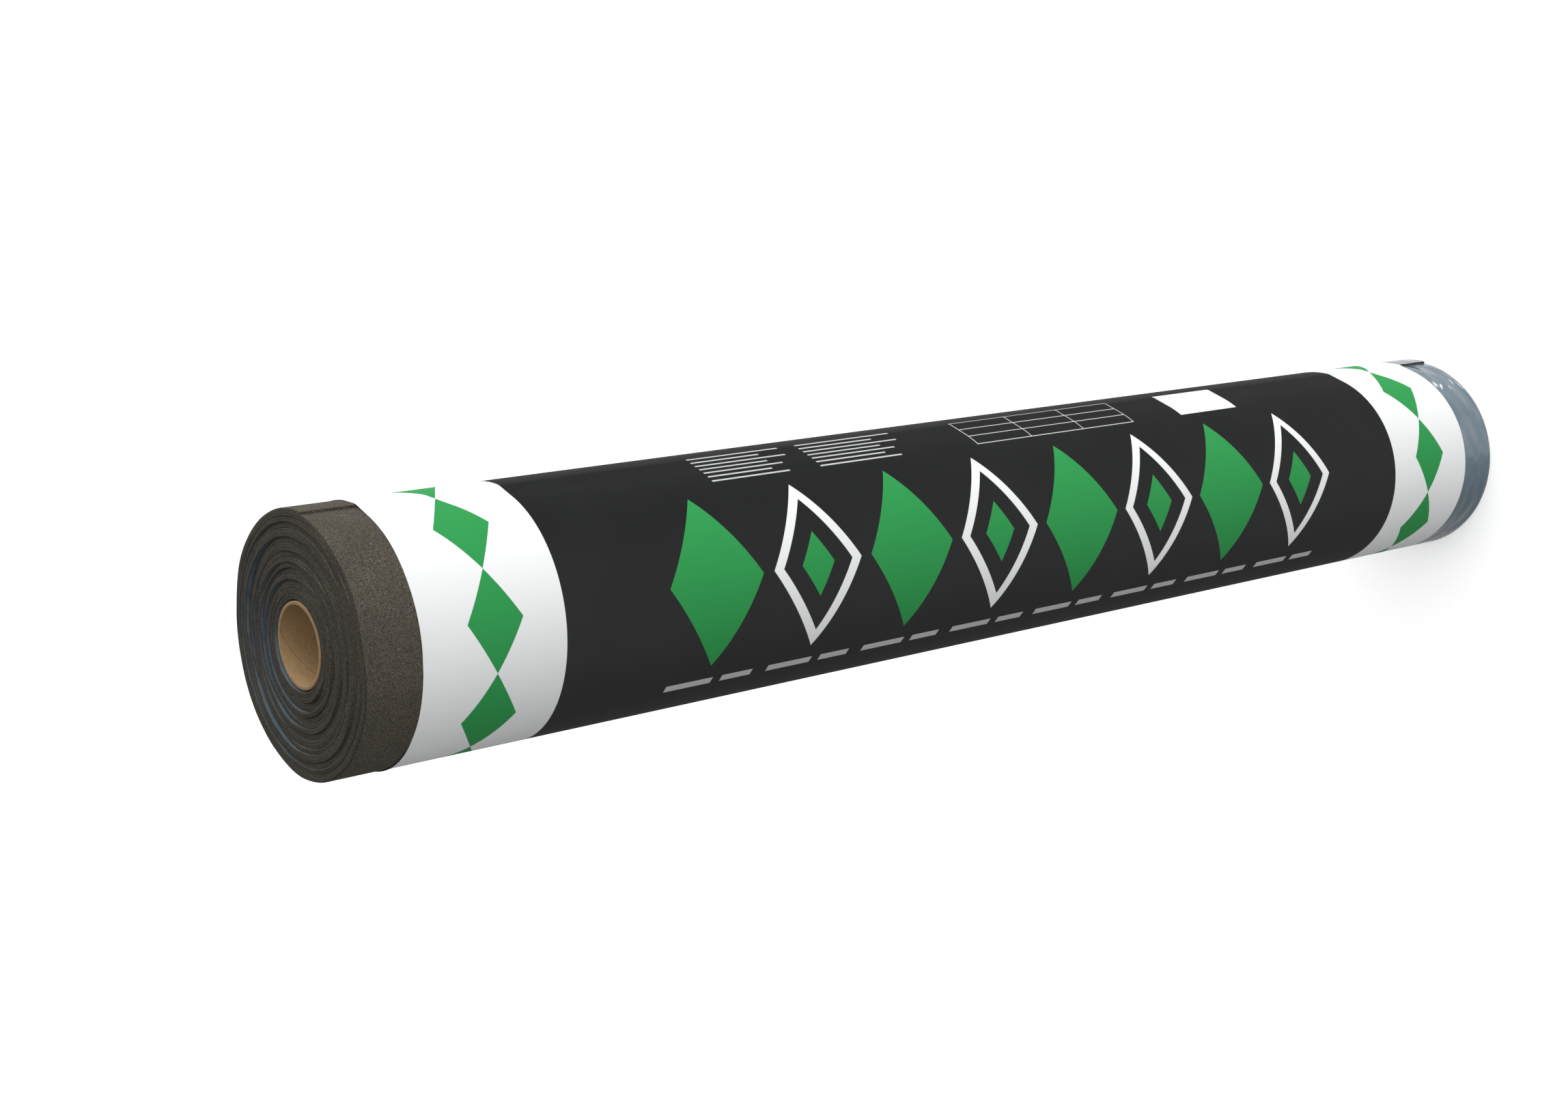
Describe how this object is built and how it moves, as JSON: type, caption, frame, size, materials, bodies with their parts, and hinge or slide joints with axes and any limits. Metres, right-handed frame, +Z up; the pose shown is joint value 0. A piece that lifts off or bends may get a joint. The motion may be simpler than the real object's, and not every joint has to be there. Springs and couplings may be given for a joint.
{
  "type": "roll of roofing felt",
  "caption": "Roll of bituminous roofing felt wound on a cardboard tube and held by a paper wrapper, to be unrolled and lapped on a roof.",
  "frame": {"origin": "on the floor under the middle of the standing roll, in the middle of its bounding box", "axes": "+Z up along the roll from its film-covered lap end to its sanded end, -Y to the side that shows in the picture, +X to the side that is uppermost there"},
  "size_m": [0.1508, 0.15, 1.0018],
  "materials": {
    "felt": "bitumen felt with a fine sanded face, matt",
    "film": "thin blue-grey release film over bitumen, glossy and slightly wrinkled",
    "cardboard": "plain brown wound board",
    "paper": "satin paper printed black with white ends"
  },
  "bodies": {
    "root": {"felt_roll": "felt", "lap_film": "film", "core_tube": "cardboard", "wrapper": "paper"}
  },
  "joints": []
}
